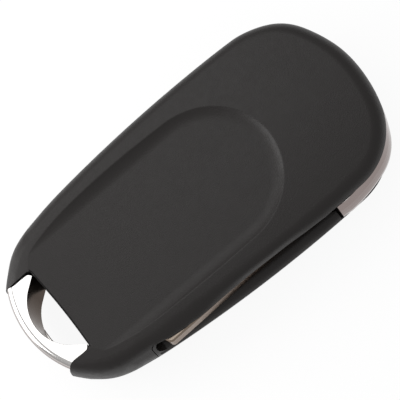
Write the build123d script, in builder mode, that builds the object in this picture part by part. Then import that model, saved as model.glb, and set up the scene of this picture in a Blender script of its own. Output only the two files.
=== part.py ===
from build123d import *
from math import atan, atan2, cos, degrees, hypot, radians, sin, tan
import os

os.makedirs("parts", exist_ok=True)

# A folding car key fob, all sizes in millimetres. X runs along the fob, with the blade head at +X and the
# key-ring bar at -X. The blade folds along the -Y side. Z is up through the rear cover, and the fob
# lies on its front face at Z = 0.

# Plan outline of the fob at its widest
length = 78.3
half_width = 20.05
widest_x = 12.6
side_radius = 281.0
pivot_end_radius = 30.4
ring_end_step = 0.75
pivot_corner_radius = 14.6
ring_corner_radius = 14.0
far_corner_extra = 1.4

# Section of the fob
thickness = 15.0
widest_height = 8.2
parting_height = 12.4
side_lean = 2.25
pivot_lean = 0.35
ring_lean = 1.1
front_lean = 3.0
ring_front_lean = 1.0
front_edge_radius = 3.2
rear_edge_radius = 2.8
waist_radius = 6.5
rear_crown_radius = 210.0
slope_start_x = 0.0
slope_radius = 253.0

# Thumb scoop in the rear cover
scoop_centre_x = 5.0
scoop_radius = 15.7
scoop_floor_radius = 4.5
scoop_depth = 0.9
scoop_slope = 0.022
scoop_crest_radius = 0.5

# Walls and seats of the two halves
wall = 1.6
rear_wall = 1.4
front_floor = 1.6
seat_gap = 0.2
seam_width = 0.14
seam_depth = 0.6
skirt_height = 6.4
skirt_x = -22.4
skirt_corner_radius = 1.2

# Blade head, turned about an upright axis
pivot_x = 24.6
pivot_y = -5.7
head_radius = 12.15
head_height = 6.0
band_thickness = 1.1
band_start_angle = -113.0
band_end_angle = 2.0
band_edge_radius = 0.35
head_clearance = 0.3
head_float = 0.2
pocket_end_x = 19.0
pocket_far_y = 4.6
fold_angle = 3.4

# Blade, seen flat; its edge shows in the slot
blade_width = 7.0
blade_offset = 6.3
blade_thickness = 3.0
blade_reach = 44.5
blade_edge_bevel = 0.3
blade_tip_radius = 0.9
blade_tip_slant = 3.2
blade_back_slant = 0.8
blade_track_width = 2.2
blade_track_depth = 0.7
blade_pin_diameter = 2.0
blade_pin_reach = 8.2
pin_end_gap = 0.1
blade_root_x = 3.0
blade_tip_flat = 2.0
blade_track_start = 15.0

# Slot that the blade swings out of
slot_floor_gap = 0.2
slot_end_x = -21.6
lip_radius = 2.0
lip_inset = 0.35
lip_steps = 5
slot_end_radius = 1.5
channel_gap = 0.5

# Spring and push button on the pivot axis
spring_bore_radius = 6.6
spring_wire = 0.8
spring_radius = 5.4
spring_turns = 1.6
spring_pitch = 1.05
spring_end_gap = 0.05
spring_floor = 2.2
spring_cap_radius = 7.2
spring_cap_thickness = 1.0
screw_slot_width = 1.4
screw_slot_depth = 0.5
button_radius = 5.2
button_recess = 0.3
button_travel = 1.4
button_edge_radius = 0.6
flange_radius = 6.1
flange_bottom = 2.4
flange_thickness = 0.8
button_barrel_radius = 3.6
button_barrel_top = 9.2
button_clearance = 0.3
spline_count = 4
spline_width = 1.6
spline_height = 0.7
trim_width = 0.8
trim_recess = 0.15
trim_depth = 1.1

# Remote buttons on the front face
key_count = 3
key_names = ("lock_button", "unlock_button", "boot_button")
key_length = 9.2
key_width = 20.0
key_corner_radius = 2.6
key_spacing = 10.6
key_field_x = -9.0
key_recess = 0.3
key_travel = 0.5
key_flange = 0.6
key_flange_thickness = 0.4
key_clearance = 0.2
key_edge_radius = 0.4
field_margin = 2.0
field_corner_radius = 4.2

# Rubber pad, inner tray and holder for a transponder
pad_thickness = 0.8
pad_border = 1.2
pad_corner_radius = 3.0
pad_rim = 1.6
pad_contact_height = 0.45
contact_radius = 2.0
contact_y = 3.4
tray_start_x = -26.0
tray_end_x = 9.6
tray_far_y = 14.2
tray_wall = 1.0
tray_top_height = 10.2
plate_margin = 1.5
tray_corner_radius = 3.0
tray_lid_thickness = 0.9
tray_boss_radius = 1.8
screw_diameter = 1.6
screw_head_diameter = 2.8
screw_head_height = 0.6
screw_length = 4.0
holder_x = 17.0
holder_y = 12.6
holder_length = 12.0
holder_width = 5.0
holder_height = 5.2
holder_wall = 0.8
holder_bottom = 3.6

# Key-ring opening and its bar
ring_cut_half_width = 8.9
ring_cut_x = -28.8
ring_cut_radius = 26.0
ring_cut_corner_radius = 1.0
ring_cut_flare = 0.8
ring_cut_flare_x = -34.4
ring_cut_edge_radius = 0.35
bar_outer_x = -39.15
bar_outer_end_x = -36.6
bar_inner_x = -36.2
bar_inner_end_x = -30.7
bar_bottom = 0.9
bar_top = 11.7
bar_end_gap = 0.12
bar_bevel = 0.3
bar_outer_rounding = 1.25
bar_tenon_length = 1.6
bar_tenon_bottom = 4.4
bar_tenon_top = 9.4
bar_tenon_x = -32.4
bar_tenon_depth = 2.0
bar_pin_diameter = 1.0
bar_pin_length = 8.6
bar_pin_bottom = 2.2
pin_gap = 0.02

# Worked out from the sizes above
far = 2 * length
half_length = length / 2
overshoot = thickness / 3
ring_end_radius = half_width - ring_end_step
bar_end_y = ring_cut_half_width - bar_end_gap
flare_length = ring_cut_flare_x - bar_outer_end_x
flare_radius = (flare_length**2 + ring_cut_flare**2) / (2 * ring_cut_flare)
bar_socket_y = bar_end_y + bar_tenon_length
bar_pin_y = bar_end_y + bar_tenon_length / 2
head_bottom = parting_height - head_float - head_height
head_top = head_bottom + head_height
band_radius = head_radius + band_thickness
pocket_radius = band_radius + head_clearance
pocket_floor = head_bottom - head_float
blade_top = head_top
blade_bottom = blade_top - blade_thickness
slot_floor = blade_bottom - slot_floor_gap
blade_outer = blade_offset + blade_width / 2
blade_inner = blade_outer - blade_width
scoop_tip_z = thickness - scoop_depth
scoop_tip_x = scoop_centre_x + scoop_radius
scoop_tilt = degrees(atan(scoop_slope))
key_back = front_floor + key_clearance / 2 + key_flange_thickness
pad_bottom = key_back + key_travel + key_clearance / 2
pad_top = pad_bottom + pad_thickness
field_length = (key_count - 1) * key_spacing + key_length + 2 * field_margin
field_width = key_width + 2 * field_margin
key_x = [key_field_x + (i - (key_count - 1) / 2) * key_spacing for i in range(key_count)]
pad_length = field_length + 2 * pad_border
pad_width = field_width + 2 * pad_border - 1.0

release_trim_radius = button_radius + button_clearance + trim_width
channel_inner_y = pivot_y - (blade_inner - channel_gap) / cos(radians(fold_angle))
tray_near_y = channel_inner_y + wall + seat_gap
tray_length = tray_end_x - tray_start_x
tray_width = tray_far_y - tray_near_y
boss_inset = tray_wall / 2 + tray_boss_radius
screw_places = [
    (x, y)
    for x in (tray_start_x + boss_inset, tray_end_x - boss_inset)
    for y in (tray_near_y + boss_inset, tray_far_y - boss_inset)
]
key_field = Plane((key_field_x, 0, 0))

head_plane = Plane(
    origin=(pivot_x, pivot_y, 0),
    x_dir=(-cos(radians(fold_angle)), -sin(radians(fold_angle)), 0),
    z_dir=(0, 0, 1),
)


def corner_centre(end_x, end_radius, side_centre_y, corner_radius, side_r, towards):
    """Centre of a corner arc that touches the end arc and the side arc from inside."""
    reach = end_radius - corner_radius
    limit = side_r - corner_radius
    dx = widest_x - end_x
    span = hypot(dx, side_centre_y)
    along = (reach**2 - limit**2 + span**2) / (2 * span)
    across = (reach**2 - along**2) ** 0.5
    ux, uy = dx / span, side_centre_y / span
    return end_x + along * ux - towards * across * uy, along * uy + towards * across * ux


def half_arc(centre, radius, start, end, side):
    """An arc of the far half of the outline, or its mirror image in the near half."""
    CenterArc((centre[0], side * centre[1]), radius, side * start, side * (end - start))


def outline(height, side_inset=0.0, pivot_inset=0.0, ring_inset=0.0):
    """The fob's plan outline at one height: two side arcs, two end arcs and rounded corners."""
    side_y = half_width - side_radius
    side_r = side_radius - side_inset
    pivot_cx, pivot_r = half_length - pivot_end_radius, pivot_end_radius - pivot_inset
    ring_cx, ring_r = ring_end_radius - half_length, ring_end_radius - ring_inset
    with BuildSketch(Plane.XY.offset(height)) as sketch:
        with BuildLine():
            for side, extra in ((1, far_corner_extra), (-1, 0)):
                near_r = pivot_corner_radius + extra - side_inset
                far_r = ring_corner_radius + extra - side_inset
                nx, ny = corner_centre(pivot_cx, pivot_r, side_y, near_r, side_r, 1)
                fx, fy = corner_centre(ring_cx, ring_r, side_y, far_r, side_r, -1)
                pivot_angle = degrees(atan2(ny, nx - pivot_cx))
                ring_angle = degrees(atan2(fy, fx - ring_cx))
                near_side = degrees(atan2(ny - side_y, nx - widest_x))
                far_side = degrees(atan2(fy - side_y, fx - widest_x))
                half_arc((pivot_cx, 0), pivot_r, 0, pivot_angle, side)
                half_arc((nx, ny), near_r, pivot_angle, near_side, side)
                half_arc((widest_x, side_y), side_r, near_side, far_side, side)
                half_arc((fx, fy), far_r, far_side, ring_angle, side)
                half_arc((ring_cx, 0), ring_r, ring_angle, 180, side)
        make_face()
    return sketch.sketch


def rear_surface(drop):
    """A solid below the rear surface: level at the pivot end, curving down to the ring end, crowned across."""
    top = thickness - drop
    low_x = -half_length - overshoot
    low_z = top - (slope_radius - (slope_radius**2 - (low_x - slope_start_x) ** 2) ** 0.5)
    crown_axis = Axis((0, 0, top - rear_crown_radius), (1, 0, 0))
    with BuildPart() as solid:
        for arc in (8, -8):
            with BuildSketch(Plane.XZ):
                with BuildLine():
                    Line((half_length + overshoot, top), (slope_start_x, top))
                    RadiusArc((slope_start_x, top), (low_x, low_z), -slope_radius)
                    Polyline((low_x, low_z), (low_x, -overshoot), (half_length + overshoot, -overshoot), (half_length + overshoot, top))
                make_face()
            revolve(axis=crown_axis, revolution_arc=arc)
    return solid.part


def scoop_tool(drop, margin=0.0):
    """What the thumb scoop takes away: an arch open to the ring end, with a rounded floor edge."""
    floor = Plane((scoop_tip_x, 0, scoop_tip_z - drop), x_dir=(1, 0, scoop_slope), z_dir=(-scoop_slope, 0, 1))
    with BuildPart() as tool:
        with BuildSketch(floor):
            with Locations((-scoop_radius, 0)):
                Circle(scoop_radius - margin)
            with Locations((-scoop_radius - length / 2, 0)):
                Rectangle(length, 2 * (scoop_radius - margin))
        extrude(amount=thickness)
        if margin == 0:
            fillet(tool.faces().sort_by(Axis.Z)[0].edges().filter_by(lambda e: e.center().X > -half_length - overshoot),
                   scoop_floor_radius)
    return tool.part


def ring_opening():
    """The gap that the key ring goes through and the bar closes, cut through the ring end, with a flared mouth."""
    edge = ring_cut_half_width
    side_x = ring_cut_x - ring_cut_radius + (ring_cut_radius**2 - edge**2) ** 0.5
    with BuildPart() as tool:
        with BuildSketch(Plane.XY.offset(-1)) as sketch:
            with BuildLine():
                ThreePointArc((side_x, -edge), (ring_cut_x, 0), (side_x, edge))
                for side in (1, -1):
                    Line((side_x, side * edge), (ring_cut_flare_x, side * edge))
                    RadiusArc((ring_cut_flare_x, side * edge), flare_end(side), side * flare_radius)
                    Line(flare_end(side), (-length, flare_end(side)[1]))
                Line((-length, flare_end(1)[1]), (-length, flare_end(-1)[1]))
            make_face()
            fillet(sketch.vertices().sort_by(Axis.X)[-2:], ring_cut_corner_radius)
        extrude(amount=thickness + 2)
    return tool.part


def flare_end(side, gap=0.0):
    """Where the flare of the ring opening's mouth ends."""
    return ring_cut_flare_x - flare_length, side * (ring_cut_half_width + ring_cut_flare - gap)


def plate(plane, size_x, size_y, corner, height):
    """A flat plate with rounded corners, centred on the plane's origin."""
    with BuildPart() as block:
        with BuildSketch(plane):
            RectangleRounded(size_x, size_y, corner)
        extrude(amount=height)
    return block.part


def head_disc(radius, bottom, top, inner=0.0):
    """A disc or ring about the pivot axis."""
    with BuildPart() as disc:
        with BuildSketch(Plane((pivot_x, pivot_y, bottom))):
            Circle(radius)
            if inner:
                Circle(inner, mode=Mode.SUBTRACT)
        extrude(amount=top - bottom)
    return disc.part


def blade_sweep():
    """The room in the near side that the blade swings out through, from the pocket to the slot's round end."""
    inner = channel_inner_y
    end_inner = inner - (pivot_x - slot_end_x) * tan(radians(fold_angle))
    with BuildPart() as room:
        with BuildSketch(Plane.XY.offset(slot_floor)) as sketch:
            with BuildLine():
                Polyline((pivot_x, inner), (slot_end_x, end_inner), (slot_end_x, -far), (pivot_x, -far), close=True)
            make_face()
        extrude(amount=parting_height - slot_floor)
        fillet(room.edges().filter_by(Axis.Y).sort_by(Axis.X)[:2], slot_end_radius)
    return room.part


def head_room():
    """The round pocket of the blade head, open through the wall at the near corner and the pivot end."""
    with BuildPart() as room:
        add(head_disc(pocket_radius, pocket_floor, thickness))
        with BuildSketch(Plane.XY.offset(pocket_floor)):
            with BuildLine():
                Polyline(
                    (pocket_end_x, pivot_y), (pocket_end_x, -far), (far, -far), (far, pocket_far_y),
                    (pivot_x, pocket_far_y), close=True,
                )
            make_face()
        extrude(amount=thickness - pocket_floor)
    return room.part


def rear_zone(grow=0.0):
    """Everything that belongs to the rear cover's rim: above the parting, and lower past the skirt."""
    low, edge_x, skirt_z = parting_height - grow, skirt_x + grow, skirt_height - grow
    with BuildPart() as zone:
        with BuildSketch(Plane.XZ.offset(-far)) as sketch:
            with BuildLine():
                Polyline(
                    (far, low), (edge_x, low), (edge_x, skirt_z), (-far, skirt_z), (-far, far), (far, far), close=True,
                )
            make_face()
            fillet(sketch.vertices().sort_by(Axis.X)[2:4], skirt_corner_radius)
        extrude(amount=2 * far)
    return zone.part


def inside(inset, bottom, top):
    """The room inside the walls between two heights."""
    with BuildPart() as room:
        with BuildSketch(Plane.XY.offset(bottom)):
            add(outline(0, side_lean + inset, pivot_lean + inset, ring_lean + inset))
        extrude(amount=top - bottom)
    return room.part


def block(x0, x1, y0, y1, z0, z1):
    """A plain box between two corners."""
    with BuildPart() as solid:
        with BuildSketch(Plane.XY.offset(z0)):
            with Locations(((x0 + x1) / 2, (y0 + y1) / 2)):
                Rectangle(x1 - x0, y1 - y0)
        extrude(amount=z1 - z0)
    return solid.part


def above_plate():
    """The room above the underside of the rear cover's plate, level with the scoop's floor."""
    under = Plane((scoop_tip_x, 0, scoop_tip_z - rear_wall), x_dir=(1, 0, scoop_slope), z_dir=(-scoop_slope, 0, 1))
    with BuildPart() as room:
        with BuildSketch(under):
            Rectangle(2 * far, 2 * far)
        extrude(amount=thickness)
    return room.part


def plate_clearance():
    """The room that the rear cover's plate dips into, inside the front housing's walls."""
    floor = scoop_tip_z - rear_wall - (scoop_tip_x - tray_start_x + plate_margin) * scoop_slope - seat_gap
    room = block(tray_start_x - plate_margin - seat_gap, scoop_tip_x + seat_gap, tray_near_y - 2 * seat_gap,
                 half_width, floor, thickness)
    return room & inside(wall, 0, thickness)


def lip_rounding():
    """What rounds the front housing's near lip, from the slot's floor down to the wall."""
    turns = [radians(90 * i / lip_steps) for i in range(lip_steps + 1)]
    insets = [(slot_floor - lip_radius * (1 - cos(t)), lip_inset + lip_radius * (1 - sin(t))) for t in turns]
    sections = [outline(height, inset, inset, inset) for height, inset in insets]
    core = loft(sections, ruled=True, mode=Mode.PRIVATE)
    return block(slot_end_x, pocket_end_x, -far, tray_near_y - wall, slot_floor - lip_radius, slot_floor) - core


def key_cap(x, grow, bottom, top):
    """One remote key's outline between two heights, grown on all sides."""
    size_x, size_y = key_length + 2 * grow, key_width + 2 * grow
    return plate(Plane((x, 0, bottom)), size_x, size_y, key_corner_radius + grow, top - bottom)


def field_ring(recess):
    """The trim round the field of keys, sunk by a recess."""
    ring = plate(key_field, field_length, field_width, field_corner_radius, trim_depth)
    hole = plate(key_field, field_length - 2 * trim_width, field_width - 2 * trim_width,
                 field_corner_radius - trim_width, trim_depth)
    return (ring - hole) - block(-far, far, -far, far, -1, recess)


def bar_tenons(grow):
    """The tenons at both ends of the key-ring bar."""
    return block(
        bar_tenon_x - bar_tenon_depth / 2 - grow, bar_tenon_x + bar_tenon_depth / 2 + grow,
        -bar_socket_y - grow, bar_socket_y + grow, bar_tenon_bottom - grow, bar_tenon_top + grow,
    ) - block(-far, far, bar_bevel - bar_end_y, bar_end_y - bar_bevel, -far, far)


def bar_pins(grow):
    """The upright pins that hold the key-ring bar."""
    with BuildPart() as solid:
        with BuildSketch(Plane.XY.offset(bar_pin_bottom)):
            with Locations((bar_tenon_x, bar_pin_y), (bar_tenon_x, -bar_pin_y)):
                Circle(bar_pin_diameter / 2 + grow)
        extrude(amount=bar_pin_length)
    return solid.part


def blade_blank(bevel):
    """The blade's blank from its root in the head out to a rounded tip."""
    middle = (blade_outer + blade_inner) / 2
    with BuildPart() as blank:
        with BuildSketch(head_plane.offset(blade_bottom)) as sketch:
            with BuildLine():
                Polyline(
                    (blade_root_x, blade_inner), (blade_reach - blade_tip_slant, blade_inner),
                    (blade_reach, middle), (blade_reach, blade_outer - blade_tip_flat),
                    (blade_reach - blade_back_slant, blade_outer), (blade_root_x, blade_outer), close=True,
                )
            make_face()
            fillet(sketch.vertices().sort_by(head_plane.location.x_axis)[-4:], blade_tip_radius)
        extrude(amount=blade_thickness)
        if bevel:
            chamfer(blank.faces().filter_by(Axis.Z).edges(), bevel)
        add(head_disc(spring_cap_radius, head_bottom, head_top), mode=Mode.SUBTRACT)
    return blank.part


def root_pin(grow):
    """The upright pin through the blade's root."""
    with BuildPart() as solid:
        with BuildSketch(head_plane.offset(head_bottom + pin_end_gap - grow)):
            with Locations((blade_pin_reach, (blade_outer + blade_inner) / 2)):
                Circle(blade_pin_diameter / 2 + grow)
        extrude(amount=head_height - 2 * pin_end_gap + 2 * grow)
    return solid.part


def splined_barrel(grow, bottom, top):
    """The release button's barrel with its splines."""
    with BuildPart() as barrel:
        with BuildSketch(Plane((pivot_x, pivot_y, bottom))):
            Circle(button_barrel_radius + grow)
            with PolarLocations(0, spline_count):
                Rectangle(2 * (button_barrel_radius + spline_height + grow), spline_width + 2 * grow)
        extrude(amount=top - bottom)
    return barrel.part


def tray_centre(height):
    """The tray's middle at one height."""
    return Plane(((tray_start_x + tray_end_x) / 2, (tray_near_y + tray_far_y) / 2, height))


def screws(grow):
    """The tray's screws: sunk heads and plain shanks."""
    with BuildPart() as solid:
        with BuildSketch(Plane.XY.offset(tray_top_height + tray_lid_thickness)):
            with Locations(*screw_places):
                Circle(screw_head_diameter / 2 + grow)
        extrude(amount=-screw_head_height)
        with BuildSketch(Plane.XY.offset(tray_top_height + tray_lid_thickness - screw_head_height)):
            with Locations(*screw_places):
                Circle(screw_diameter / 2 + grow)
        extrude(amount=-screw_length)
    return solid.part


# The whole outside of the fob, as if it were one piece
with BuildPart() as whole:
    loft([outline(widest_height), outline(thickness + 1, side_lean + 0.3, pivot_lean, ring_lean)], ruled=True)
    loft([outline(0, front_lean, front_lean, ring_front_lean), outline(widest_height)], ruled=True)
    add(rear_surface(0), mode=Mode.INTERSECT)
    fillet(whole.faces().sort_by(Axis.Z)[0].edges(), front_edge_radius)
    rim = whole.edges().filter_by(lambda e: e.center().Z > parting_height - seam_depth and abs(e.center().Y) > rear_edge_radius)
    fillet(rim.filter_by(lambda e: abs((e @ 0).Z - (e @ 1).Z) < 1.5), rear_edge_radius)
    waist = whole.edges().filter_by(lambda e: abs(e.center().Z - widest_height) < 0.01)
    fillet(waist.filter_by(lambda e: abs((e @ 0).Z - (e @ 1).Z) < 0.01), waist_radius)
    add(scoop_tool(0), mode=Mode.SUBTRACT)
    crest = whole.edges().filter_by(lambda e: e.center().Z > scoop_tip_z + scoop_depth / 3)
    crest = crest.filter_by(lambda e: abs(e.center().Y) < scoop_radius - scoop_depth and e.center().X < scoop_tip_x)
    fillet(crest.filter_by(lambda e: e.length > scoop_floor_radius), scoop_crest_radius)
    add(ring_opening(), mode=Mode.SUBTRACT)

# Room for the pieces inside, cut out of both halves
sweep_room = blade_sweep()
head_space = head_room()
tray_room = block(
    tray_start_x - seat_gap, tray_end_x + seat_gap, tray_near_y - seat_gap, tray_far_y + seat_gap, pad_top, thickness,
)
holder_room = block(
    holder_x - holder_length / 2 - seat_gap, holder_x + holder_length / 2 + seat_gap,
    holder_y - holder_width / 2 - seat_gap, holder_y + holder_width / 2 + seat_gap, holder_bottom, thickness,
)
plate_room = block(tray_start_x - plate_margin, scoop_tip_x, tray_near_y - seat_gap, half_width, skirt_height, thickness)
bar_sockets = bar_tenons(seat_gap / 2) + bar_pins(pin_gap)

# Rear cover: its rim, the deeper skirt at the ring end, and the plate under the scoop
with BuildPart() as rear_cover:
    add(whole.part)
    add(rear_zone() + (plate_room & inside(wall + seat_gap, 0, thickness) & above_plate()), mode=Mode.INTERSECT)
    add(tray_room - above_plate(), mode=Mode.SUBTRACT)
    add(bar_sockets, mode=Mode.SUBTRACT)

# Front housing: floor, walls, head pocket, blade slot and the windows for the keys
with BuildPart() as front_housing:
    add(whole.part)
    add(rear_zone(), mode=Mode.SUBTRACT)
    add(rear_zone(seam_width) - inside(seam_depth, 0, thickness), mode=Mode.SUBTRACT)
    add(plate_clearance(), mode=Mode.SUBTRACT)
    add(head_space, mode=Mode.SUBTRACT)
    add(sweep_room, mode=Mode.SUBTRACT)
    add(lip_rounding(), mode=Mode.SUBTRACT)
    add(tray_room, mode=Mode.SUBTRACT)
    add(holder_room, mode=Mode.SUBTRACT)
    add(plate(key_field.offset(front_floor), pad_length, pad_width, pad_corner_radius, pad_top - front_floor),
        mode=Mode.SUBTRACT)
    for x in key_x:
        add(key_cap(x, key_clearance, -1, key_back), mode=Mode.SUBTRACT)
    add(field_ring(0), mode=Mode.SUBTRACT)
    add(head_disc(button_radius + button_clearance, -1, head_bottom), mode=Mode.SUBTRACT)
    add(head_disc(flange_radius + button_clearance, flange_bottom - button_clearance, head_bottom), mode=Mode.SUBTRACT)
    add(head_disc(release_trim_radius, -1, trim_depth), mode=Mode.SUBTRACT)
    add(bar_sockets, mode=Mode.SUBTRACT)

# Key-ring bar: a crescent across the opening, held by a tenon and a pin at each end
with BuildPart() as ring_bar:
    with BuildSketch(Plane.XY.offset(bar_bottom)):
        with BuildLine():
            ThreePointArc((bar_inner_end_x, -bar_end_y), (bar_inner_x, 0), (bar_inner_end_x, bar_end_y))
            for side in (1, -1):
                Line((bar_inner_end_x, side * bar_end_y), (ring_cut_flare_x, side * bar_end_y))
                RadiusArc((ring_cut_flare_x, side * bar_end_y), flare_end(side, bar_end_gap), side * flare_radius)
            ThreePointArc(flare_end(1, bar_end_gap), (bar_outer_x, 0), flare_end(-1, bar_end_gap))
        make_face()
    extrude(amount=bar_top - bar_bottom)
    rims = ring_bar.faces().filter_by(Axis.Z).edges()
    outer_rims = rims.filter_by(lambda e: abs(e.center().Y) < bar_bevel and e.center().X < bar_inner_x)
    fillet(outer_rims, bar_outer_rounding)
    rims = ring_bar.faces().filter_by(Axis.Z).edges()
    chamfer(rims.filter_by(lambda e: e.center().X > bar_outer_x + bar_outer_rounding), bar_bevel)
    add(bar_tenons(0))
    add(bar_pins(pin_gap), mode=Mode.SUBTRACT)

with BuildPart() as ring_bar_pins:
    add(bar_pins(0))

# Bright trim let into the front face round the keys, and round the release button
with BuildPart() as front_trim:
    add(field_ring(trim_recess))

with BuildPart() as release_trim:
    add(head_disc(release_trim_radius, trim_recess, trim_depth, button_radius + button_clearance))

# Blade head: a barrel with a slot for the blade, a well for the spring and a splined bore for the button
with BuildPart() as blade_head:
    add(head_disc(head_radius, head_bottom, head_top))
    add(blade_blank(0), mode=Mode.SUBTRACT)
    add(head_disc(spring_bore_radius, head_bottom + spring_floor, head_top), mode=Mode.SUBTRACT)
    add(head_disc(spring_cap_radius, head_top - spring_cap_thickness, head_top), mode=Mode.SUBTRACT)
    add(splined_barrel(button_clearance, head_bottom, head_top), mode=Mode.SUBTRACT)
    add(root_pin(pin_gap), mode=Mode.SUBTRACT)

# Bright band round the part of the head that shows at the corner
with BuildPart() as head_band:
    with BuildSketch(Plane((pivot_x, pivot_y, head_bottom))):
        with BuildLine():
            outer = CenterArc((0, 0), band_radius, band_start_angle, band_end_angle - band_start_angle)
            inner = CenterArc((0, 0), head_radius, band_start_angle, band_end_angle - band_start_angle)
            Line(outer @ 0, inner @ 0)
            Line(outer @ 1, inner @ 1)
        make_face()
    extrude(amount=head_height)
    fillet(head_band.faces().filter_by(GeomType.CYLINDER).sort_by(SortBy.AREA)[-1].edges(), band_edge_radius)

# Key blade: uncut blank with bevelled edges and a track down each face
with BuildPart() as blade:
    add(blade_blank(blade_edge_bevel))
    for z in (blade_bottom, blade_top - blade_track_depth):
        with BuildSketch(head_plane.offset(z)):
            with Locations(((blade_track_start + blade_reach) / 2, (blade_outer + blade_inner) / 2)):
                SlotOverall(blade_reach - blade_track_start - blade_tip_slant, blade_track_width)
        extrude(amount=blade_track_depth, mode=Mode.SUBTRACT)
    add(root_pin(pin_gap), mode=Mode.SUBTRACT)

with BuildPart() as blade_pin:
    add(root_pin(0))

# Flip spring under its cap
with BuildPart() as flip_spring:
    with BuildLine(Plane((pivot_x, pivot_y, head_bottom + spring_floor + spring_wire / 2 + spring_end_gap))) as coil:
        Helix(spring_pitch, spring_turns * spring_pitch, spring_radius)
    with BuildSketch(Plane(coil.line @ 0, z_dir=coil.line % 0)):
        RegularPolygon(spring_wire / 2, 6)
    sweep(is_frenet=True)

with BuildPart() as spring_cap:
    add(head_disc(spring_cap_radius, head_top - spring_cap_thickness, head_top))
    with BuildSketch(Plane((pivot_x, pivot_y, head_top))):
        SlotOverall(spring_cap_radius, screw_slot_width, rotation=45)
    extrude(amount=-screw_slot_depth, mode=Mode.SUBTRACT)

# Release button on the pivot axis
with BuildPart() as release_button:
    add(head_disc(button_radius, button_recess, flange_bottom))
    fillet(release_button.faces().sort_by(Axis.Z)[0].edges(), button_edge_radius)
    add(head_disc(flange_radius, flange_bottom, flange_bottom + flange_thickness))
    add(splined_barrel(0, flange_bottom, button_barrel_top))

# Remote keys
keys = {}
for name, x in zip(key_names, key_x):
    with BuildPart() as key:
        add(key_cap(x, 0, key_recess, key_back))
        fillet(key.faces().sort_by(Axis.Z)[0].edges(), key_edge_radius)
        add(key_cap(x, key_flange, key_back - key_flange_thickness, key_back))
    keys[name] = key

# Rubber pad behind the keys: a sheet with a rim round it and three raised contacts
with BuildPart() as silicone_pad:
    add(plate(key_field.offset(front_floor), pad_length, pad_width, pad_corner_radius, pad_top - front_floor))
    add(plate(key_field.offset(front_floor), pad_length - 2 * pad_rim, pad_width - 2 * pad_rim,
              pad_corner_radius - pad_rim, pad_bottom - front_floor), mode=Mode.SUBTRACT)
    with BuildSketch(Plane.XY.offset(pad_top)):
        with Locations(*[(x, contact_y) for x in key_x]):
            Circle(contact_radius)
    extrude(amount=pad_contact_height)

# Inner tray, left empty, with a lid and four small screws
with BuildPart() as board_tray:
    add(plate(tray_centre(pad_top), tray_length, tray_width, tray_corner_radius, tray_top_height - pad_top))
    add(plate(tray_centre(pad_top + tray_wall), tray_length - 2 * tray_wall, tray_width - 2 * tray_wall,
              tray_corner_radius - tray_wall, tray_top_height), mode=Mode.SUBTRACT)
    with BuildSketch(Plane.XY.offset(pad_top)):
        with Locations(*screw_places):
            Circle(tray_boss_radius)
    extrude(amount=tray_top_height - pad_top)
    add(screws(pin_gap), mode=Mode.SUBTRACT)
    with BuildSketch(Plane.XY.offset(pad_top)):
        with Locations(*[(x, contact_y) for x in key_x]):
            Circle(contact_radius + seat_gap)
    extrude(amount=tray_wall, mode=Mode.SUBTRACT)

with BuildPart() as tray_lid:
    add(plate(tray_centre(tray_top_height), tray_length, tray_width, tray_corner_radius, tray_lid_thickness))
    add(screws(pin_gap), mode=Mode.SUBTRACT)

with BuildPart() as tray_screws:
    add(screws(0))

# Empty holder for a transponder
with BuildPart() as chip_holder:
    add(plate(Plane((holder_x, holder_y, holder_bottom)), holder_length, holder_width, 2 * holder_wall, holder_height))
    add(plate(Plane((holder_x, holder_y, holder_bottom + holder_wall)), holder_length - 2 * holder_wall,
              holder_width - 2 * holder_wall, holder_wall, holder_height), mode=Mode.SUBTRACT)

pieces = {
    "rear_cover": rear_cover, "front_housing": front_housing, "ring_bar": ring_bar, "ring_bar_pins": ring_bar_pins,
    "front_trim": front_trim, "release_trim": release_trim, "blade_head": blade_head, "head_band": head_band,
    "blade": blade, "blade_pin": blade_pin, "flip_spring": flip_spring, "spring_cap": spring_cap,
    "release_button": release_button, "silicone_pad": silicone_pad, "board_tray": board_tray, "tray_lid": tray_lid,
    "tray_screws": tray_screws, "chip_holder": chip_holder,
} | keys
for name, piece in pieces.items():
    piece.part.label = name
    export_step(piece.part, f"parts/{name}.step")
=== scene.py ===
"""Looks of the folding key fob shell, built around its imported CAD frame."""

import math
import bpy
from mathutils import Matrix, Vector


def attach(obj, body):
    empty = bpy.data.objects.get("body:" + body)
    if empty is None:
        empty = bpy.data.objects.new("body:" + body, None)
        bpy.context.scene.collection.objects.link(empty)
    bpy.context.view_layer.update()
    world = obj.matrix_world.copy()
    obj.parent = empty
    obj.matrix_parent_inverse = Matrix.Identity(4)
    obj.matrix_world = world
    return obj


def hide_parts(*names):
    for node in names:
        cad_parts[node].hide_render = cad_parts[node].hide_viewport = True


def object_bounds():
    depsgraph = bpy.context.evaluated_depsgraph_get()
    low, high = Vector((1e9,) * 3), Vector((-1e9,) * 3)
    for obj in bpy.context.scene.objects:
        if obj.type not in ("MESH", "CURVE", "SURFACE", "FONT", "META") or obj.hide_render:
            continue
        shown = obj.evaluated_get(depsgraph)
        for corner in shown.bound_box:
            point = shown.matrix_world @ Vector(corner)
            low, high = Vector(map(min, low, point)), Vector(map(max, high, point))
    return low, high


bl_info = {
    "name": "Folding key fob shell",
    "version": (1, 0, 0),
    "blender": (4, 5, 0),
    "location": "View3D > Sidebar > Key fob",
    "description": "Dresses the folding key fob shell with its mouldings, plating and blade",
    "category": "Object",
}

import bmesh
import bpy
from mathutils import Matrix, Vector

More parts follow.
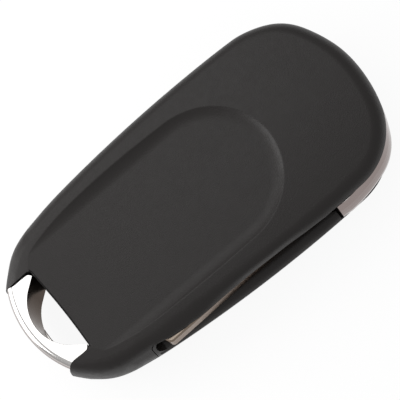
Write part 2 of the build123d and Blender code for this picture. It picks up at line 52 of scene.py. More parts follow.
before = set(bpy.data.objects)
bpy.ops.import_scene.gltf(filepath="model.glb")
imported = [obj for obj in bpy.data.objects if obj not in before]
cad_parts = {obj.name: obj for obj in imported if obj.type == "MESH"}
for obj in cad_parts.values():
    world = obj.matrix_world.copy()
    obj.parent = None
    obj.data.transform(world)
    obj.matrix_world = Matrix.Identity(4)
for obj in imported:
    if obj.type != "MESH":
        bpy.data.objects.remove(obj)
CAD_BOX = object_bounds()
MM = 0.001
MERGE = 0.001 * MM      # corners of a copied mesh nearer than this are one
CREASE_ANGLE = 32       # edges sharper than this many degrees stay crisp
RIM_ANGLE = 55          # and edges sharper than this are rims, which get rounded

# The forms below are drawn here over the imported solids. They are in millimetres and degrees, in the fob's own frame:
# X runs from the key ring to the blade head, Y away from the slot that the blade folds into, Z from front to rear.

# Back wall of the ring opening, an upright arc: where its middle is, its radius and its half width
PACKED_WALL_X, PACKED_WALL_RADIUS, PACKED_WALL_HALF = -28.8, 26.0, 8.9
WALL_X, WALL_RADIUS, WALL_HALF = -30.2, 120.0, 9.3
WALL_REACH_X = -22.0            # beyond this X nothing follows the wall
WALL_FRONT_RUN = (-1.5, -0.2)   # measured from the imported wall: the shift to the new wall grows over this run of X,
WALL_BACK_RUN = (0.0, 5.0)      # and dies out over this one
WALL_SIDE_RUN = 1.5             # and over this much Y past the wall's ends
SPREAD_END_RUN = 3.5            # the widening dies out over this much Y past the wall's ends,
SPREAD_START_Y = 4.0            # grows from this Y on,
SPREAD_X_RUN = (-30.5, -27.5)   # and dies out over this run of X

# Rim of that opening on the rear side: above which height it is, how far behind the wall and short of its ends it is
# looked for, its rounding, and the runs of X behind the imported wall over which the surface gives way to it
RIM_Z = 11.0
RIM_DEPTH, RIM_END_GAP = 1.0, 0.4
RIM_BEVEL, RIM_STEPS = 0.5, 2
RIM_EASE_IN, RIM_EASE_OUT = (0.1, 0.33), (0.4, 2.5)
RIM_LIFT = 0.12                 # rise of the surface per millimetre that it moves back

# Walls of that opening, which get the shaded material: how far behind the back wall and past its ends they reach, and
# how squarely they face a point in the opening
SHADE_CENTRE_X, SHADE_DEPTH, SHADE_SIDE, SHADE_FACING = -33.2, 1.6, 0.9, 0.12

# Near edge of the rear half: drawn in over the blade and let out past its tip, each over its two runs of X
EDGE_NEAR_Y = -12.0
EDGE_Z, EDGE_TOLERANCE, EDGE_FADE = 12.4, 0.1, 1.8
EDGE_SHIFT = 0.5
EDGE_DRAWN_IN = ((-9, 1), (7, 17))
EDGE_LET_OUT = ((-23, -19), (-13, -6))

# Places where the outline is drawn in towards the middle: X, Y, reach and depth
CORNER_FAIRING = ((-27.2, 16.4, 3.6, 0.55), (-27.6, -16.6, 3.0, 0.36), (-32.5, -13.0, 2.2, 0.15),
                  (-34.4, 13.4, 2.4, 0.3), (37.2, 9.5, 3.2, 0.42), (28.3, 17.5, 2.6, 0.2))

# The bar's outline, on its far half; the near half mirrors it. An arc is its centre, its radius, and its half angle or
# its start and its sweep
BAR_BOTTOM, BAR_TOP = 0.9, 12.0
BAR_INNER = ((-27.424, 0.0), 8.576, 50.32)
BAR_TIP = (-30.677, 8.317)
BAR_CORNER = ((-31.957, 7.8), 1.38, 22.0, 68.0)
BAR_FLARE = ((-34.0, 12.469), 3.45, -90.0, -40.8)
BAR_OUTER = ((-17.896, 0.0), 20.4, 35.0)
BAR_MOUTH = (-39.5, 12.87)
BAR_STEPS = {"inner": 40, "corner": 8, "outer": 60, "flare": 10}
BAR_SPARE_X, BAR_SPARE_Y, BAR_SPARE_Z = 4.0, 20.0, 1.0      # how far the cutters of its ends go past it
BAR_ROUNDING, BAR_BEVEL = 1.25, 0.3                         # of its outer and its inner rims
BAR_DRAFT, BAR_DRAFT_TOP, BAR_DRAFT_DEPTH = 1.2, 8.0, 2.0   # its outside leans in by so much, below and within these
# The bar's inner wall faces picked by these two values get the plating with painted shade and a painted dark
# reflection.
BAR_WALL_FACING, BAR_WALL_SLANT = 0.25, 0.97                # faces of its inner wall point this much towards X at
                                                            # least, and this much towards Y or Z at most

# The blade head's axis and barrel, and the band round it. The band's outside follows the fob's own arcs (centre,
# radius, start and end), set in at each height by so much across the fob and so much along it
PIVOT = (24.6, -5.7)
HEAD_RADIUS = 12.15
BAND_ARCS = (((11.15, 0.0), 28.0, -10.7, -27.676), ((26.205, -7.896), 11.0, -27.676, -68.712),
             ((20.759, 6.081), 26.0, -68.712, -88.166))
BAND_END = (19.5, -19.75)
BAND_START_ANGLE = 2.0
BAND_STEPS, HEAD_STEPS = 14, 36
BAND_LEVELS = ((6.2, 0.74, 0.6), (7.2, 0.47, 0.35), (8.2, 0.38, 0.25), (9.2, 0.5, 0.3), (10.3, 0.7, 0.38),
               (12.2, 1.32, 0.6))

# Room that the band and the open blade take out of the front half
ROOM_BOTTOM, ROOM_HEIGHT = 5.9, 12.0
BAND_ROOM_RADIUS, BAND_ROOM_STEPS = 15.0, 48
BLADE_ROOM_Y, BLADE_ROOM_SPARE = 5.9, 5.0

# Points of an outline nearer than SNAP are one, and what is within TOUCH of a surface is on it
SNAP, TOUCH = 0.01, 0.05

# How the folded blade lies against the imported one: turned about the pivot, and moved out of the slot
BLADE_TURN, BLADE_SHIFT = -1.4, 1.25

# The stage, in metres and watts
CAMERA_AIM = (0.001519, 0.00017, 0.0082)
CLIP_NEAR, CLIP_FAR = 0.01, 10.0
FLOOR_HALF = 1.5
FLOOR_GREY, FLOOR_GLOW, FLOOR_GLOW_SHARE = 0.8, 1.08, 0.85
WORLD_LEVEL = 0.45
LAMP_SIZE, LAMP_AIM = 0.12, (0.0, 0.0, 0.01)
LAMPS = (("lamp_far", (0.0, 0.08, 0.139), 0.048), ("lamp_left", (-0.126, 0.072, 0.068), 0.122))


class FinishSettings(bpy.types.PropertyGroup):
    """Colours and surface sizes of the fob's finishes."""

    moulded_colour: bpy.props.StringProperty(
        name="Moulded black", description="sRGB hex of the moulded black halves", default="#272423")
    moulded_roughness: bpy.props.FloatProperty(
        name="Moulded roughness", description="Roughness of the moulded black halves", default=0.42, min=0, max=1)
    texture_grain: bpy.props.FloatProperty(
        name="Mould texture", description="Grain of the spark-eroded mould texture",
        default=0.22 * MM, unit="LENGTH", precision=5)
    plating_colour: bpy.props.StringProperty(
        name="Bright plating", description="sRGB hex of the bright plating", default="#F2F0EE")
    blade_colour: bpy.props.StringProperty(
        name="Blade", description="sRGB hex of the nickel-plated blade", default="#B0A294")


class StageSettings(bpy.types.PropertyGroup):
    """Camera and lamps."""

    tilt: bpy.props.FloatProperty(
        name="Tilt", description="Camera's lean from upright towards the blade side",
        default=math.radians(17.5), subtype="ANGLE")
    roll: bpy.props.FloatProperty(
        name="Roll", description="How far the fob's long axis is turned up from level in the picture",
        default=math.radians(39.75), subtype="ANGLE")
    distance: bpy.props.FloatProperty(
        name="Distance", description="From the camera to the fob", default=0.65, unit="LENGTH")
    picture_width: bpy.props.FloatProperty(
        name="Picture width", description="Width of the picture at the fob", default=0.0726, unit="LENGTH")
    lamp_level: bpy.props.FloatProperty(
        name="Lamp level", description="Strength of the soft studio lamps", default=1.0, min=0)


def linear(hex_colour):
    """sRGB hex to linear red, green, blue and alpha."""
    parts = [int(hex_colour[i:i + 2], 16) / 255 for i in (1, 3, 5)]
    return tuple(c / 12.92 if c <= 0.04045 else ((c + 0.055) / 1.055) ** 2.4 for c in parts) + (1.0,)


def node(tree, kind, links=(), **settings):
    """Adds a node, sets its properties and sockets, and links (from socket, to input) pairs."""
    made = tree.nodes.new(kind)
    for name, value in settings.items():
        if name.startswith("in_"):
            key = name[3:].replace("_", " ")
            made.inputs[int(key) if key.isdigit() else key].default_value = value
        else:
            setattr(made, name, value)
    for source, target in links:
        tree.links.new(source, made.inputs[target])
    return made


def new_material(name, **surface):
    """A Principled material with constants on its own sockets; returns (material, tree, shader, coordinates)."""
    material = bpy.data.materials.new(name)
    material.use_nodes = True
    tree = material.node_tree
    shader = tree.nodes["Principled BSDF"]
    for key, value in surface.items():
        shader.inputs[key.replace("_", " ")].default_value = value
    where = node(tree, "ShaderNodeTexCoord").outputs["Object"]
    return material, tree, shader, where


def cloudy(tree, where, size, detail=3.0):
    """Noise with clouds of one size."""
    return node(tree, "ShaderNodeTexNoise", [(where, "Vector")], in_Scale=1 / size, in_Detail=detail).outputs["Fac"]


def grain_bump(tree, shader, where, size, depth, stretch=(1, 1, 1)):
    """A fine all-over relief of one grain size."""
    spread = node(tree, "ShaderNodeMapping", [(where, "Vector")], in_Scale=stretch).outputs["Vector"]
    grain = cloudy(tree, spread, size, detail=2.0)
    bump = node(tree, "ShaderNodeBump", [(grain, "Height")], in_Strength=1.0, in_Distance=depth)
    tree.links.new(bump.outputs["Normal"], shader.inputs["Normal"])


def vary_roughness(tree, shader, where, size, low, high):
    """Roughness that drifts between two values over a size."""
    spread = node(tree, "ShaderNodeMapRange", [(cloudy(tree, where, size), "Value")],
                  **{"in_From Min": 0.3, "in_From Max": 0.7, "in_To Min": low, "in_To Max": high})
    tree.links.new(spread.outputs["Result"], shader.inputs["Roughness"])


def blend_colour(tree, shader, part, first, second):
    """Colours a surface between two sRGB hex values, as a socket says."""
    blend = node(tree, "ShaderNodeMix", [(part, 0)], data_type="RGBA", in_6=linear(first), in_7=linear(second))
    tree.links.new(blend.outputs[2], shader.inputs["Base Color"])


def vary_colour(tree, shader, where, size, first, second):
    """A slow drift between two near colours."""
    blend_colour(tree, shader, cloudy(tree, where, size), first, second)


def painted_reflection_by_facing(tree, shader, level, upright):
    """Paints reflection and shade by facing: blends from a colour on upright faces to one on level faces."""
    facing = node(tree, "ShaderNodeNewGeometry").outputs["Normal"]
    rise = node(tree, "ShaderNodeSeparateXYZ", [(facing, 0)]).outputs["Z"]
    part = node(tree, "ShaderNodeMapRange", [(rise, "Value")], **{"in_From Min": 0.3, "in_From Max": 0.98})
    blend_colour(tree, shader, part.outputs["Result"], upright, level)


def moulded_abs(finish):
    """Spark-eroded black ABS: a soft wide sheen, broken by a fine mould texture. The real texture's grain is about
    0.1 mm; it is drawn at twice that, so that it shows."""
    material, tree, shader, where = new_material("moulded_black_abs", IOR=1.54, Specular_IOR_Level=0.33)
    rough = finish.moulded_roughness
    vary_colour(tree, shader, where, 6 * MM, finish.moulded_colour, "#2A2726")
    vary_roughness(tree, shader, where, 1.2 * MM, rough - 0.03, rough + 0.04)
    grain_bump(tree, shader, where, finish.texture_grain, 0.03 * MM)
    return material


def shaded_abs():
    """The moulded black on the walls of the ring opening, which get next to no light: darker and duller."""
    material, tree, shader, where = new_material("moulded_black_abs_shaded", IOR=1.54, Specular_IOR_Level=0.12)
    vary_colour(tree, shader, where, 4 * MM, "#131211", "#181716")
    vary_roughness(tree, shader, where, 2 * MM, 0.5, 0.6)
    return material


def inner_abs():
    """Plain matt black ABS of the parts inside."""
    material, tree, shader, where = new_material("plain_black_abs", IOR=1.54)
    vary_colour(tree, shader, where, 4 * MM, "#262626", "#2B2A2A")
    vary_roughness(tree, shader, where, 2 * MM, 0.5, 0.6)
    grain_bump(tree, shader, where, 0.4 * MM, 0.006 * MM)
    return material


def bright_plating(finish):
    """Bright nickel-chrome plating over plastic: mirror-like, with a trace of waviness; its upright sides are painted
    warmer and darker, a painted reflection of what stands round the fob."""
    material, tree, shader, where = new_material("bright_chrome_plating", Metallic=1.0)
    # Painted reflection: upright faces coloured darker and warmer than level ones.
    painted_reflection_by_facing(tree, shader, finish.plating_colour, "#8A7E7B")
    vary_roughness(tree, shader, where, 1.5 * MM, 0.10, 0.16)
    grain_bump(tree, shader, where, 2.0 * MM, 0.004 * MM)
    return material


def plating_with_painted_shade():
    """The same plating on the wall inside the ring opening, painted dark: a painted reflection of the black moulding
    across from it, and painted shade.
    """
    material, tree, shader, where = new_material(
        "chrome_plating_painted_dark", Metallic=1.0, Specular_Tint=linear("#C4BEBA"))
    # Painted shade and reflection: a dark base colour in place of the bright plating.
    vary_colour(tree, shader, where, 3 * MM, "#3A3634", "#423D3B")
    vary_roughness(tree, shader, where, 1.5 * MM, 0.14, 0.2)
    return material


def nickel_blade(finish):
    """Nickel-plated brass blank, drawn lengthwise: fine lines along the blade, and its upright edge painted warmer and
    darker, a painted reflection.
    """
    material, tree, shader, where = new_material("nickel_plated_brass", Metallic=1.0)
    # Painted reflection: the upright edge coloured darker and browner than the level faces.
    painted_reflection_by_facing(tree, shader, finish.blade_colour, "#75604F")
    vary_roughness(tree, shader, where, 0.8 * MM, 0.22, 0.32)
    grain_bump(tree, shader, where, 0.12 * MM, 0.002 * MM, stretch=(0.03, 1, 1))
    return material


def plain_steel():
    """Plain steel of the pins, the screws and the coil: grey, with a broken soft gloss."""
    material, tree, shader, where = new_material("plain_steel", Metallic=1.0)
    vary_colour(tree, shader, where, 3 * MM, "#A8A8A6", "#9C9C9A")
    vary_roughness(tree, shader, where, 0.6 * MM, 0.28, 0.38)
    grain_bump(tree, shader, where, 0.15 * MM, 0.002 * MM)
    return material


def silicone_rubber():
    """Moulded grey silicone rubber: matt and even."""
    material, tree, shader, where = new_material("silicone_rubber", IOR=1.41)
    vary_colour(tree, shader, where, 4 * MM, "#4A4B4E", "#434447")
    vary_roughness(tree, shader, where, 1.0 * MM, 0.6, 0.7)
    grain_bump(tree, shader, where, 0.3 * MM, 0.006 * MM)
    return material


def soft_touch():
    """Soft-touch coat of the keys: near black, with hardly any gloss."""
    material, tree, shader, where = new_material("soft_touch_black", IOR=1.5)
    vary_colour(tree, shader, where, 3 * MM, "#1E1E1F", "#222223")
    vary_roughness(tree, shader, where, 1.0 * MM, 0.5, 0.58)
    grain_bump(tree, shader, where, 0.16 * MM, 0.008 * MM)
    return material


def paint(material, *node_names):
    """Gives CAD nodes their material."""
    for name in node_names:
        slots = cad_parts[name].data.materials
        slots.clear()
        slots.append(material)


def arc(mesh, centre, start, sweep, radius, height, steps):
    """Spins one vertex into an arc of edges about an upright line, and returns its two ends."""
    turn = math.radians(start)
    from_centre = Vector((radius * math.cos(turn), radius * math.sin(turn), 0))
    middle = Vector((*centre, height))
    first = mesh.verts.new((middle + from_centre) * MM)
    spun = bmesh.ops.spin(mesh, geom=[first], cent=middle * MM, axis=(0, 0, 1), angle=math.radians(sweep),
                          steps=steps, use_duplicate=False)
    last = [item for item in spun["geom_last"] if isinstance(item, bmesh.types.BMVert)][0]
    return first, last


def outline(mesh, parts, height):
    """Joins arcs (centre, start, sweep, radius, steps) and single points, in order round a piece, into one face."""
    ends = []
    for part in parts:
        if len(part) == 2:
            point = mesh.verts.new(Vector((*part, height)) * MM)
            ends.append((point, point))
        else:
            centre, start, sweep, radius, steps = part
            ends.append(arc(mesh, centre, start, sweep, radius, height, steps))
    for (_, last), (first, _) in zip(ends, ends[1:] + ends[:1]):
        if (last.co - first.co).length > SNAP * MM:
            mesh.edges.new((last, first))
    bmesh.ops.remove_doubles(mesh, verts=mesh.verts, dist=SNAP * MM)
    bmesh.ops.contextual_create(mesh, geom=mesh.edges[:])
    return mesh.faces[:]


def raise_faces(mesh, faces, rise):
    """Extrudes faces straight up and returns the new top faces."""
    grown = bmesh.ops.extrude_face_region(mesh, geom=faces, use_keep_orig=True)["geom"]
    corners = [item for item in grown if isinstance(item, bmesh.types.BMVert)]
    bmesh.ops.translate(mesh, verts=corners, vec=(0, 0, rise * MM))
    return [item for item in grown if isinstance(item, bmesh.types.BMFace)]


def upright_block(parts, bottom, rise):
    """A closed block over one outline."""
    block = bmesh.new()
    raise_faces(block, outline(block, parts, bottom), rise)
    bmesh.ops.recalc_face_normals(block, faces=block.faces)
    return block


def is_rim(edge):
    """Whether two faces meet sharply at an edge."""
    return len(edge.link_faces) == 2 and edge.calc_face_angle(0) > math.radians(RIM_ANGLE)


def round_edges(mesh, edges, size, segments):
    """Rounds edges to a radius in millimetres."""
    bmesh.ops.bevel(mesh, geom=edges, affect="EDGES", offset=size * MM, segments=segments, profile=0.5,
                    material=-1, clamp_overlap=True)


def new_piece(mesh, name, body, materials, replaced):
    """Makes a finished object of a bmesh, smooth but for its creases, that rides on a body and replaces a node."""
    for face in mesh.faces:
        face.smooth = True
    for edge in mesh.edges:
        edge.smooth = len(edge.link_faces) == 2 and edge.calc_face_angle(0) < math.radians(CREASE_ANGLE)
    data = bpy.data.meshes.new(name)
    mesh.to_mesh(data)
    mesh.free()
    for material in materials:
        data.materials.append(material)
    piece = bpy.data.objects.new(name, data)
    bpy.context.scene.collection.objects.link(piece)
    weights = piece.modifiers.new("even_shading", "WEIGHTED_NORMAL")
    weights.keep_sharp = True
    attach(piece, body)
    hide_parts(replaced)


def merged_copy(node_name):
    """A closed copy of a CAD node's mesh."""
    mesh = bmesh.new()
    mesh.from_mesh(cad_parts[node_name].data)
    bmesh.ops.remove_doubles(mesh, verts=mesh.verts, dist=MERGE)
    return mesh


def cut_away(mesh, cutter):
    """Takes one closed bmesh out of another and returns the rest; both are used up."""
    objects = []
    for name, part in (("kept", mesh), ("cutter", cutter)):
        data = bpy.data.meshes.new(name)
        part.to_mesh(data)
        part.free()
        objects.append(bpy.data.objects.new(name, data))
        bpy.context.scene.collection.objects.link(objects[-1])
    boolean = objects[0].modifiers.new("cut", "BOOLEAN")
    boolean.object, boolean.operation, boolean.solver = objects[1], "DIFFERENCE", "EXACT"
    rest = bmesh.new()
    rest.from_mesh(objects[0].evaluated_get(bpy.context.evaluated_depsgraph_get()).data)
    for item in objects:
        data = item.data
        bpy.data.objects.remove(item)
        bpy.data.meshes.remove(data)
    bmesh.ops.remove_doubles(rest, verts=rest.verts, dist=MERGE)
    return rest


def ease(value, low, high):
    """0 below low, 1 above high, smooth between."""
    part = min(max((value - low) / (high - low), 0), 1)
    return part * part * (3 - 2 * part)


def between(value, rise, fall):
    """Grows from 0 to 1 over one run of values and dies out over a later one."""
    return ease(value, *rise) * (1 - ease(value, *fall))


def wall_x(middle_x, radius, y):
    """Where the back wall of the ring opening is at a place across it."""
    return middle_x - radius + math.sqrt(radius**2 - y**2)


def edge_shift(x, z):
    """How far the near edge of the rear half is drawn in."""
    shift = EDGE_SHIFT * (between(x, *EDGE_DRAWN_IN) - between(x, *EDGE_LET_OUT))
    return shift * (1 - ease(z, EDGE_Z, EDGE_Z + EDGE_FADE))


def opening_shift(x, y, z):
    """How a point near the ring opening moves with its flatter, wider back wall."""
    across = abs(y)
    old = wall_x(PACKED_WALL_X, PACKED_WALL_RADIUS, min(across, PACKED_WALL_HALF))
    new = wall_x(WALL_X, WALL_RADIUS, min(across, PACKED_WALL_HALF))
    beyond = x - old
    back = (new - old) * (1 - ease(across, PACKED_WALL_HALF, PACKED_WALL_HALF + WALL_SIDE_RUN))
    back *= between(beyond, WALL_FRONT_RUN, WALL_BACK_RUN)
    if z > RIM_Z and across < WALL_HALF:
        back += RIM_BEVEL * between(beyond, RIM_EASE_IN, RIM_EASE_OUT)
    wall_end = PACKED_WALL_HALF
    spread = (WALL_HALF - wall_end) * (1 - ease(x, *SPREAD_X_RUN))
    spread *= between(across, (SPREAD_START_Y, wall_end), (wall_end, wall_end + SPREAD_END_RUN))
    return Vector((back, spread if y > 0 else -spread, RIM_LIFT * back if z > RIM_Z else 0))


def round_rim(mesh):
    """Rounds the ring opening's rim on the rear side."""
    rims = []
    for edge in mesh.edges:
        spot = (edge.verts[0].co + edge.verts[1].co) / 2 / MM
        at_opening = spot.x < WALL_X + RIM_DEPTH and abs(spot.y) < WALL_HALF - RIM_END_GAP and spot.z > RIM_Z
        if at_opening and is_rim(edge):
            rims.append(edge)
    if rims:
        round_edges(mesh, rims, RIM_BEVEL, RIM_STEPS)
        mesh.normal_update()


def shade_opening(mesh):
    """Gives the walls of the ring opening the second material, and every other face the first."""
    middle = Vector((SHADE_CENTRE_X, 0, 0))
    for face in mesh.faces:
        spot = face.calc_center_median() / MM
        if spot.x < WALL_X + SHADE_DEPTH and abs(spot.y) < WALL_HALF + SHADE_SIDE:
            towards = (middle - Vector((spot.x, spot.y, 0))).normalized()
            face.material_index = 1 if face.normal.dot(towards) > SHADE_FACING else 0


def fair_shell(mesh):
    """Draws a moulded half in at its corners and along its slot, and reshapes its ring opening."""
    for vert in mesh.verts:
        x, y, z = vert.co / MM
        if y < EDGE_NEAR_Y and z > EDGE_Z - EDGE_TOLERANCE:
            vert.co.y += edge_shift(x, z) * MM
        if x < WALL_REACH_X:
            vert.co += opening_shift(x, y, z) * MM
        for corner_x, corner_y, reach, depth in CORNER_FAIRING:
            distance = math.hypot(x - corner_x, y - corner_y)
            inward = Vector((-corner_x, -corner_y, 0)).normalized()
            vert.co += inward * depth * math.exp(-(distance / reach)**2 / 2) * MM
    mesh.normal_update()
    round_rim(mesh)
    shade_opening(mesh)


class KEYFOB_OT_mouldings(bpy.types.Operator):
    """Dress the moulded halves, the head and the parts inside"""

    bl_idname = "keyfob.mouldings"
    bl_label = "Mouldings"

    def execute(self, context):
        black = moulded_abs(context.scene.keyfob_finish)
        # The second material paints shade on the ring opening's walls.
        shell_material_and_painted_shade = [black, shaded_abs()]
        rear = merged_copy("rear_cover")
        fair_shell(rear)
        new_piece(rear, "rear_moulding", "body", shell_material_and_painted_shade, "rear_cover")
        front = merged_copy("front_housing")
        fair_shell(front)
        far_end = CAD_BOX[1][0] / MM + BLADE_ROOM_SPARE
        band_room = [(PIVOT, 0, 180, BAND_ROOM_RADIUS, BAND_ROOM_STEPS)]
        blade_room = [(PIVOT[0], 0), (far_end, 0), (far_end, BLADE_ROOM_Y), (PIVOT[0], BLADE_ROOM_Y)]
        for room in (band_room, blade_room):
            front = cut_away(front, upright_block(room, ROOM_BOTTOM, ROOM_HEIGHT))
        new_piece(front, "front_moulding", "body", shell_material_and_painted_shade, "front_housing")
        paint(black, "blade_head")
        paint(inner_abs(), "spring_cap", "board_tray", "tray_lid", "chip_holder")
        return {"FINISHED"}


def bar_blank():
    """The crescent of the bar with square edges, longer than it ends up."""
    centre, radius, start, sweep = BAR_CORNER
    inner_centre, inner_radius, inner_half = BAR_INNER
    outer_centre, outer_radius, outer_half = BAR_OUTER
    blank_y = outer_radius * math.sin(math.radians(outer_half))
    steps = BAR_STEPS["corner"]
    parts = [(inner_centre, 180 + inner_half, -2 * inner_half, inner_radius, BAR_STEPS["inner"]),
             BAR_TIP, (centre, start, sweep, radius, steps), (centre[0], blank_y),
             (outer_centre, 180 - outer_half, 2 * outer_half, outer_radius, BAR_STEPS["outer"]), (centre[0], -blank_y),
             ((centre[0], -centre[1]), -start - sweep, sweep, radius, steps), (BAR_TIP[0], -BAR_TIP[1])]
    return upright_block(parts, BAR_BOTTOM, BAR_TOP - BAR_BOTTOM)


def round_bar(mesh):
    """Rounds the bar's outer rims widely and bevels its inner ones."""
    outer_centre, outer_radius, _ = BAR_OUTER
    for outer, size, segments in ((True, BAR_ROUNDING, 6), (False, BAR_BEVEL, 2)):
        rims = []
        for edge in mesh.edges:
            ends = [vert.co / MM for vert in edge.verts]
            at_end = any(all(abs(spot.z - height) < SNAP for spot in ends) for height in (BAR_BOTTOM, BAR_TOP))
            spot = (ends[0] + ends[1]) / 2
            at_outside = math.hypot(spot.x - outer_centre[0], spot.y) > outer_radius - 2 * TOUCH
            if at_end and is_rim(edge) and at_outside == outer:
                rims.append(edge)
        round_edges(mesh, rims, size, segments)


def flare_cutter(side):
    """What is cut off one end of the bar, so that it flares out to the fob's outside."""
    corner_centre, corner_radius = BAR_CORNER[:2]
    centre, radius, start, sweep = BAR_FLARE
    spare_x = corner_centre[0] + BAR_SPARE_X
    parts = [(spare_x, side * (corner_centre[1] + corner_radius)),
             ((centre[0], side * centre[1]), side * start, side * sweep, radius, BAR_STEPS["flare"]),
             (BAR_MOUTH[0], side * BAR_MOUTH[1]), (BAR_MOUTH[0], side * BAR_SPARE_Y), (spare_x, side * BAR_SPARE_Y)]
    return upright_block(parts, BAR_BOTTOM - BAR_SPARE_Z, BAR_TOP - BAR_BOTTOM + 2 * BAR_SPARE_Z)


def ring_bar_mesh():
    """The crescent bar across the ring opening, its outside leaning in towards the foot; the wall that faces the
    opening has the second material, the plating with painted shade and a painted dark reflection."""
    mesh = bar_blank()
    round_bar(mesh)
    for side in (1, -1):
        mesh = cut_away(mesh, flare_cutter(side))
    outer_centre, outer_radius, _ = BAR_OUTER
    middle = Vector((*outer_centre, 0)) * MM
    for vert in mesh.verts:
        away = Vector((vert.co.x, vert.co.y, 0)) - middle
        if away.length / MM > outer_radius - BAR_DRAFT_DEPTH:
            vert.co -= away.normalized() * BAR_DRAFT * (1 - ease(vert.co.z / MM, BAR_BOTTOM, BAR_DRAFT_TOP)) * MM
    inner_centre, inner_radius, _ = BAR_INNER
    # Faces of the inner wall get the plating painted dark: painted shade and a painted reflection.
    for face in mesh.faces:
        inside = face.calc_center_median().x / MM > inner_centre[0] - inner_radius - TOUCH
        slant = max(abs(face.normal.y), face.normal.z)
        if inside and face.normal.x > BAR_WALL_FACING and slant < BAR_WALL_SLANT:
            face.material_index = 1
    return mesh


def head_band_mesh():
    """The bright band on the head, flush with the fob's outside at the corner where it shows."""
    mesh = bmesh.new()
    pivot = Vector(PIVOT)
    reach = Vector(BAND_END) - pivot
    inner_end = math.degrees(math.atan2(reach.y, reach.x))
    parts = [(centre, start, end - start, radius, BAND_STEPS) for centre, radius, start, end in BAND_ARCS]
    parts += [BAND_END, (PIVOT, inner_end, BAND_START_ANGLE - inner_end, HEAD_RADIUS, HEAD_STEPS)]
    heights = [level[0] for level in BAND_LEVELS]
    faces = outline(mesh, parts, heights[0])
    for low, high in zip(heights, heights[1:]):
        faces = raise_faces(mesh, faces, high - low)
    bmesh.ops.recalc_face_normals(mesh, faces=mesh.faces)
    for vert in mesh.verts:
        away = vert.co.xy / MM - pivot
        if away.length > HEAD_RADIUS + TOUCH:
            _, inset_y, inset_x = min(BAND_LEVELS, key=lambda level: abs(level[0] - vert.co.z / MM))
            away.normalize()
            vert.co.x -= away.x * abs(away.x) * inset_x * MM
            vert.co.y -= away.y * abs(away.y) * inset_y * MM
    return mesh


def blade_mesh():
    """The blade, in its place in the slot."""
    mesh = merged_copy("blade")
    turn = Matrix.Rotation(math.radians(BLADE_TURN), 3, "Z")
    bmesh.ops.rotate(mesh, verts=mesh.verts, cent=Vector((*PIVOT, 0)) * MM, matrix=turn)
    bmesh.ops.translate(mesh, verts=mesh.verts, vec=(0, -BLADE_SHIFT * MM, 0))
    return mesh


class KEYFOB_OT_metal(bpy.types.Operator):
    """Dress the plated trim, the blade and the small steel parts"""

    bl_idname = "keyfob.metal"
    bl_label = "Metal parts"

    def execute(self, context):
        finish = context.scene.keyfob_finish
        plating = bright_plating(finish)
        paint(plating, "front_trim", "release_trim", "release_button")
        new_piece(ring_bar_mesh(), "plated_ring_bar", "body", [plating, plating_with_painted_shade()],
                  "ring_bar")
        new_piece(head_band_mesh(), "plated_head_band", "head", [plating], "head_band")
        new_piece(blade_mesh(), "nickel_blade", "head", [nickel_blade(finish)], "blade")
        paint(plain_steel(), "ring_bar_pins", "blade_pin", "flip_spring", "tray_screws")
        return {"FINISHED"}


class KEYFOB_OT_keys(bpy.types.Operator):
    """Dress the remote keys and their rubber pad"""

    bl_idname = "keyfob.keys"
    bl_label = "Keys and pad"

    def execute(self, context):
        paint(soft_touch(), "lock_button", "unlock_button", "boot_button")
        paint(silicone_rubber(), "silicone_pad")
        return {"FINISHED"}


def place_camera(scene, settings):
    """A long lens over the fob, leant towards the blade side and rolled."""
    tilt, roll = settings.tilt, settings.roll
    along = Vector((1, 0, 0))
    across = Vector((0, math.cos(tilt), math.sin(tilt)))
    right = math.cos(roll) * along - math.sin(roll) * across
    up = math.sin(roll) * along + math.cos(roll) * across
    back = right.cross(up)
    data = bpy.data.cameras.new("camera")
    camera = bpy.data.objects.new("camera", data)
    scene.collection.objects.link(camera)
    camera.rotation_mode = "QUATERNION"
    camera.rotation_quaternion = Matrix((right, up, back)).transposed().to_quaternion()
    camera.location = Vector(CAMERA_AIM) + back * settings.distance
    data.lens = data.sensor_width * settings.distance / settings.picture_width
    data.clip_start, data.clip_end = CLIP_NEAR, CLIP_FAR
    scene.camera = camera


def white_floor():
    """Matt pale floor for the light, and mostly plain white for what looks at it, so that a faint shadow stays."""
    material = bpy.data.materials.new("white_floor")
    material.use_nodes = True
    tree = material.node_tree
    tree.nodes.clear()
    rays = node(tree, "ShaderNodeLightPath")
    seen = rays.outputs["Is Camera Ray"]
    for kind in ("Is Glossy Ray", "Is Transmission Ray"):
        seen = node(tree, "ShaderNodeMath", [(seen, 0), (rays.outputs[kind], 1)], operation="MAXIMUM").outputs[0]
    seen = node(tree, "ShaderNodeMath", [(seen, 0)], operation="MULTIPLY", in_1=FLOOR_GLOW_SHARE).outputs[0]
    matt = node(tree, "ShaderNodeBsdfDiffuse", in_Color=(FLOOR_GREY, FLOOR_GREY, FLOOR_GREY, 1)).outputs[0]
    glow = node(tree, "ShaderNodeEmission", in_Color=(1, 1, 1, 1), in_Strength=FLOOR_GLOW).outputs[0]
    mix = node(tree, "ShaderNodeMixShader", [(seen, 0), (matt, 1), (glow, 2)]).outputs[0]
    node(tree, "ShaderNodeOutputMaterial", [(mix, 0)])
    return material


def lay_floor(scene):
    """The floor that the fob lies on."""
    grid = bmesh.new()
    bmesh.ops.create_grid(grid, x_segments=1, y_segments=1, size=FLOOR_HALF)
    mesh = bpy.data.meshes.new("floor")
    grid.to_mesh(mesh)
    grid.free()
    mesh.materials.append(white_floor())
    floor = bpy.data.objects.new("floor", mesh)
    scene.collection.objects.link(floor)


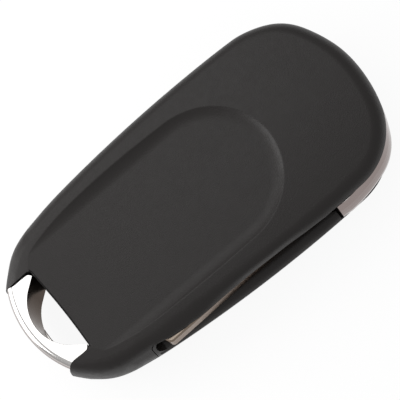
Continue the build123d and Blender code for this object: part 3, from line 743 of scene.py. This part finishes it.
def soft_lamp(scene, name, place, power):
    """A square studio lamp pointed at the fob."""
    data = bpy.data.lights.new(name, "AREA")
    data.shape = "SQUARE"
    data.size, data.energy = LAMP_SIZE, power
    lamp = bpy.data.objects.new(name, data)
    scene.collection.objects.link(lamp)
    lamp.location = place
    lamp.rotation_mode = "QUATERNION"
    lamp.rotation_quaternion = (Vector(LAMP_AIM) - Vector(place)).to_track_quat("-Z", "Y")


def pale_world():
    """Even white light from all round."""
    world = bpy.data.worlds.new("studio")
    world.use_nodes = True
    background = world.node_tree.nodes["Background"]
    background.inputs["Color"].default_value = (1, 1, 1, 1)
    background.inputs["Strength"].default_value = WORLD_LEVEL
    return world


class KEYFOB_OT_stage(bpy.types.Operator):
    """Set the floor, the lamps, the world and the camera"""

    bl_idname = "keyfob.stage"
    bl_label = "Stage"

    def execute(self, context):
        scene, settings = context.scene, context.scene.keyfob_stage
        scene.view_settings.view_transform = "Standard"
        place_camera(scene, settings)
        lay_floor(scene)
        scene.world = pale_world()
        for name, place, power in LAMPS:
            soft_lamp(scene, name, place, power * settings.lamp_level)
        return {"FINISHED"}


class KEYFOB_PT_panel(bpy.types.Panel):
    """Lists the fob's pieces and their settings"""

    bl_idname = "KEYFOB_PT_panel"
    bl_label = "Key fob shell"
    bl_space_type = "VIEW_3D"
    bl_region_type = "UI"
    bl_category = "Key fob"

    def draw(self, context):
        for step in STEPS:
            self.layout.operator(step.bl_idname)
        for group in (context.scene.keyfob_finish, context.scene.keyfob_stage):
            for name in group.__annotations__:
                self.layout.prop(group, name)


STEPS = (KEYFOB_OT_stage, KEYFOB_OT_mouldings, KEYFOB_OT_metal, KEYFOB_OT_keys)
CLASSES = (FinishSettings, StageSettings, *STEPS, KEYFOB_PT_panel)


def register():
    """Registers the classes and hangs their settings on the scene."""
    for cls in CLASSES:
        bpy.utils.register_class(cls)
    bpy.types.Scene.keyfob_finish = bpy.props.PointerProperty(type=FinishSettings)
    bpy.types.Scene.keyfob_stage = bpy.props.PointerProperty(type=StageSettings)


def unregister():
    """Takes the settings and the classes away again."""
    del bpy.types.Scene.keyfob_stage
    del bpy.types.Scene.keyfob_finish
    for cls in reversed(CLASSES):
        bpy.utils.unregister_class(cls)


def main():
    """Runs every step in order."""
    register()
    for step in STEPS:
        group, name = step.bl_idname.split(".")
        getattr(getattr(bpy.ops, group), name)()


if __name__ == "__main__":
    main()
